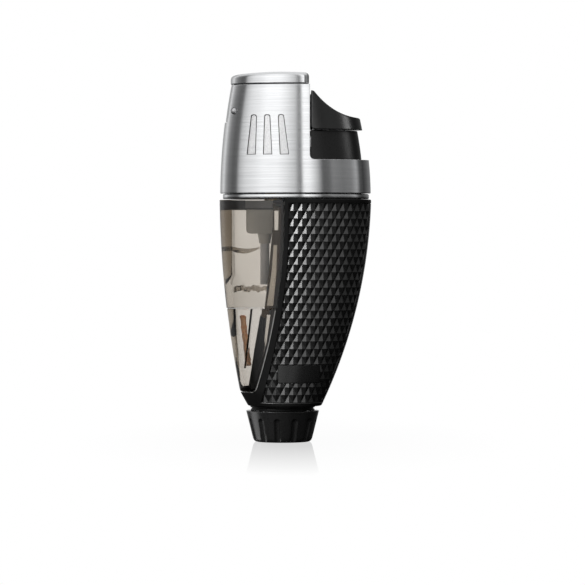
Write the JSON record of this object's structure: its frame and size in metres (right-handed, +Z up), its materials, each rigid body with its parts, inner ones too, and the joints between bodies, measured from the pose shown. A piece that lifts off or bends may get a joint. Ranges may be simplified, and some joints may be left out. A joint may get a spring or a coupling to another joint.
{
  "type": "piezo jet lighter",
  "caption": "Pocket butane jet lighter with oval metal head, flip lid opened by a rear thumb trigger, clear fuel tank, knurled rubber grip and a fluted flame adjuster base.",
  "frame": {"origin": "on the base plane, under the middle of the outline", "axes": "+Z up from the adjuster wheel to the lid, +X towards the thumb trigger, -X towards the lid hinge, Y across the thickness"},
  "size_m": [0.041, 0.0232, 0.0998],
  "materials": {
    "brushed_metal": "fine horizontal brushing under bright chrome",
    "black_plastic": "satin moulded",
    "black_rubber": "satin, pyramid knurl",
    "smoked_tank": "polished, smoked clear",
    "inner_plastic": "as moulded",
    "grey_plastic": "as moulded",
    "steel": "bright drawn",
    "brass": "turned",
    "wick_felt": "sintered, rust orange",
    "silicone": "translucent white",
    "seal_rubber": "matt",
    "ceramic": "fired, off-white; stands for ceramic",
    "red_insulation": "extruded"
  },
  "bodies": {
    "body": {"grip_housing": "black_plastic", "rubber_grip": "black_rubber", "fuel_tank": "smoked_tank", "tank_base": "smoked_tank", "tank_cap": "inner_plastic", "wick": "wick_felt", "dip_tube": "silicone", "valve_filter": "grey_plastic", "tank_baffle": "smoked_tank", "fill_valve_body": "brass", "fill_valve_spring": "steel", "fill_valve_o_ring": "seal_rubber", "trim_ring": "brushed_metal", "head_shell": "brushed_metal", "chassis": "inner_plastic", "chassis_screw_1": "steel", "chassis_screw_2": "steel", "lid_pin": "steel", "gas_lever_pin": "steel", "burner_base": "brass", "burner_tube": "steel", "jet_plate": "brass", "flame_guard": "steel", "electrode": "steel", "electrode_insulator": "ceramic", "gas_hose": "silicone", "valve_body": "brass", "valve_spring": "steel", "valve_o_ring": "seal_rubber", "ignition_lead": "red_insulation", "piezo_case": "black_plastic", "piezo_contact": "brass", "piezo_crystal": "ceramic", "piezo_spring": "steel"},
    "trigger": {"thumb_trigger": "black_plastic", "trigger_skirt": "black_plastic", "cam_yoke": "steel", "piezo_plunger": "inner_plastic"},
    "lid": {"lid_cap": "brushed_metal", "lid_crank_pin": "steel"},
    "gas_rocker": {"gas_lever": "steel"},
    "jet_valve": {"valve_stem": "brass"},
    "adjuster": {"adjuster_wheel": "black_plastic", "adjuster_spindle": "brass"},
    "filler": {"fill_valve_stem": "brass"}
  },
  "joints": [
    {"name": "trigger_press", "type": "slide", "parent": "body", "child": "trigger", "axis": [0, 0, -1], "range_m": [0, 0.006], "stiffness_N_per_m": 1500, "springref_m": -0.004, "deforming": ["piezo_spring"]},
    {"name": "lid_hinge", "type": "hinge", "parent": "body", "child": "lid", "pos_m": [-0.0164, 0, 0.089], "axis": [0, -1, 0], "range_deg": [0, 84]},
    {"name": "gas_rock", "type": "hinge", "parent": "body", "child": "gas_rocker", "pos_m": [0.0012, 0, 0.0707], "axis": [0, 1, 0], "range_deg": [0, 4.28]},
    {"name": "jet_lift", "type": "slide", "parent": "body", "child": "jet_valve", "axis": [0, 0, 1], "range_m": [0, 0.0005], "deforming": ["valve_spring"]},
    {"name": "adjuster_turn", "type": "hinge", "parent": "body", "child": "adjuster", "pos_m": [-0.00343, 0, 0.004], "axis": [0, 0, 1], "range_deg": [-135, 135]},
    {"name": "filler_press", "type": "slide", "parent": "body", "child": "filler", "axis": [0, 0, 1], "range_m": [0, 0.001], "stiffness_N_per_m": 800, "springref_m": -0.002, "deforming": ["fill_valve_spring"]}
  ],
  "couplings": [
    {"joint": "lid_hinge", "follows": "trigger_press", "rad_per_m": 244.35},
    {"joint": "gas_rock", "follows": "trigger_press", "rad_per_m": 12.45},
    {"joint": "jet_lift", "follows": "trigger_press", "ratio": 0.08333}
  ]
}
